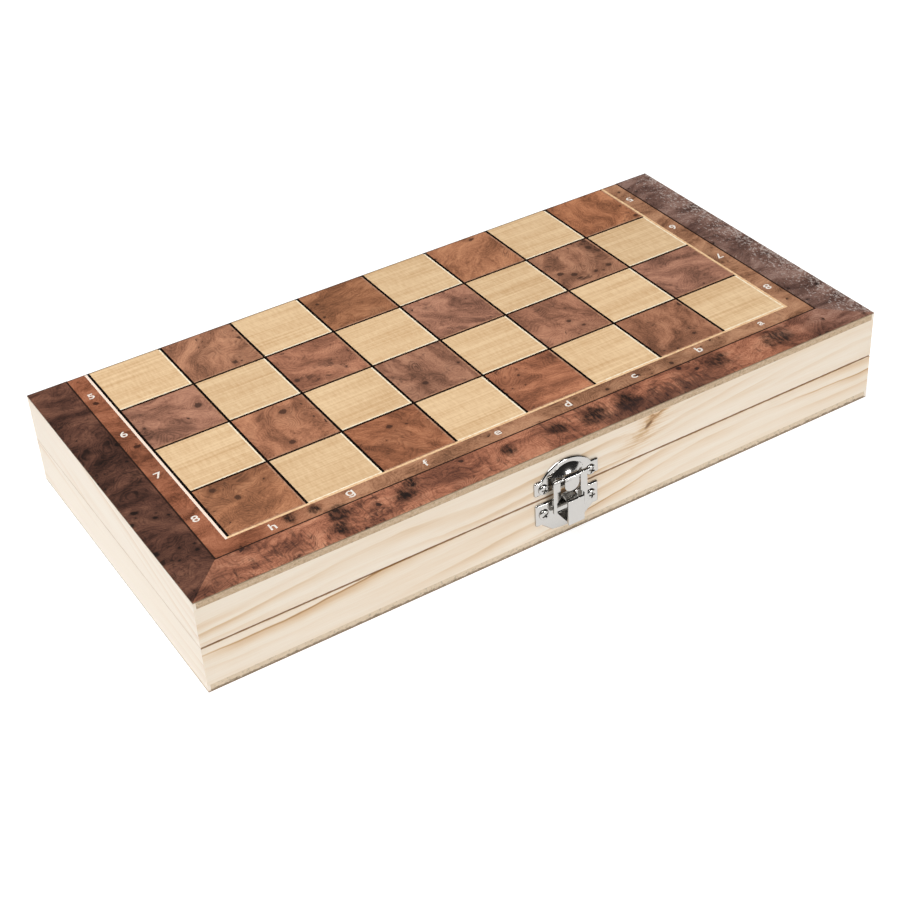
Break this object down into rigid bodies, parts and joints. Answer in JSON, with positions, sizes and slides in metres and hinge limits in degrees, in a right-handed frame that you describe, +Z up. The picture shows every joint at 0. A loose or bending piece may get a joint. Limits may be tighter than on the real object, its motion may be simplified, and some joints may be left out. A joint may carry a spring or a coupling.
{
  "type": "folding chess and backgammon board",
  "caption": "Shallow wooden game box of two hinged trays, with a chessboard inlaid outside, backgammon points inside and a hasp latch on the front.",
  "frame": {"origin": "middle of the overall box, on the surface that the closed board lies on", "axes": "+X along the hinged side to the right of someone who faces the latch, +Y from the latch to the hinges, +Z up"},
  "size_m": [0.288, 0.1526, 0.039],
  "materials": {
    "pine": "bare sanded pine",
    "board": "raw fibreboard edge",
    "burl": "lacquered walnut burl",
    "maple": "lacquered maple",
    "lines": "lacquered lines",
    "band": "lacquered burl",
    "border": "lacquered dark burl",
    "field": "lacquered maple",
    "dark_point": "lacquered walnut",
    "light_point": "lacquered mahogany",
    "nickel": "polished nickel plate"
  },
  "bodies": {
    "base": {"base_back_rail": "pine", "base_backgammon_field": "field", "base_border_veneer": "border", "base_coordinate_band": "band", "base_dark_points": "dark_point", "base_dark_squares": "burl", "base_front_rail": "pine", "base_hinge_screws": "nickel", "base_left_rail": "pine", "base_light_points": "light_point", "base_light_squares": "maple", "base_line_inlay": "lines", "base_panel": "board", "base_right_rail": "pine", "hinge_left_base_leaf": "nickel", "hinge_left_pin": "nickel", "hinge_right_base_leaf": "nickel", "hinge_right_pin": "nickel", "latch_catch_plate": "nickel", "latch_catch_plate_screws": "nickel"},
    "lid": {"hinge_left_lid_leaf": "nickel", "hinge_right_lid_leaf": "nickel", "latch_hasp_plate": "nickel", "latch_hasp_plate_screws": "nickel", "lid_back_rail": "pine", "lid_backgammon_field": "field", "lid_border_veneer": "border", "lid_coordinate_band": "band", "lid_dark_points": "dark_point", "lid_dark_squares": "burl", "lid_front_rail": "pine", "lid_hinge_screws": "nickel", "lid_left_rail": "pine", "lid_light_points": "light_point", "lid_light_squares": "maple", "lid_line_inlay": "lines", "lid_panel": "board", "lid_right_rail": "pine"},
    "hasp": {"latch_hasp": "nickel"}
  },
  "joints": [
    {"name": "lid_hinge", "type": "hinge", "parent": "base", "child": "lid", "pos_m": [0, 0.0745, 0.0195], "axis": [-1, 0, 0], "range_deg": [0, 180]},
    {"name": "hasp_pivot", "type": "hinge", "parent": "lid", "child": "hasp", "pos_m": [0, -0.0728, 0.0269], "axis": [-1, 0, 0], "range_deg": [0, 110]}
  ]
}
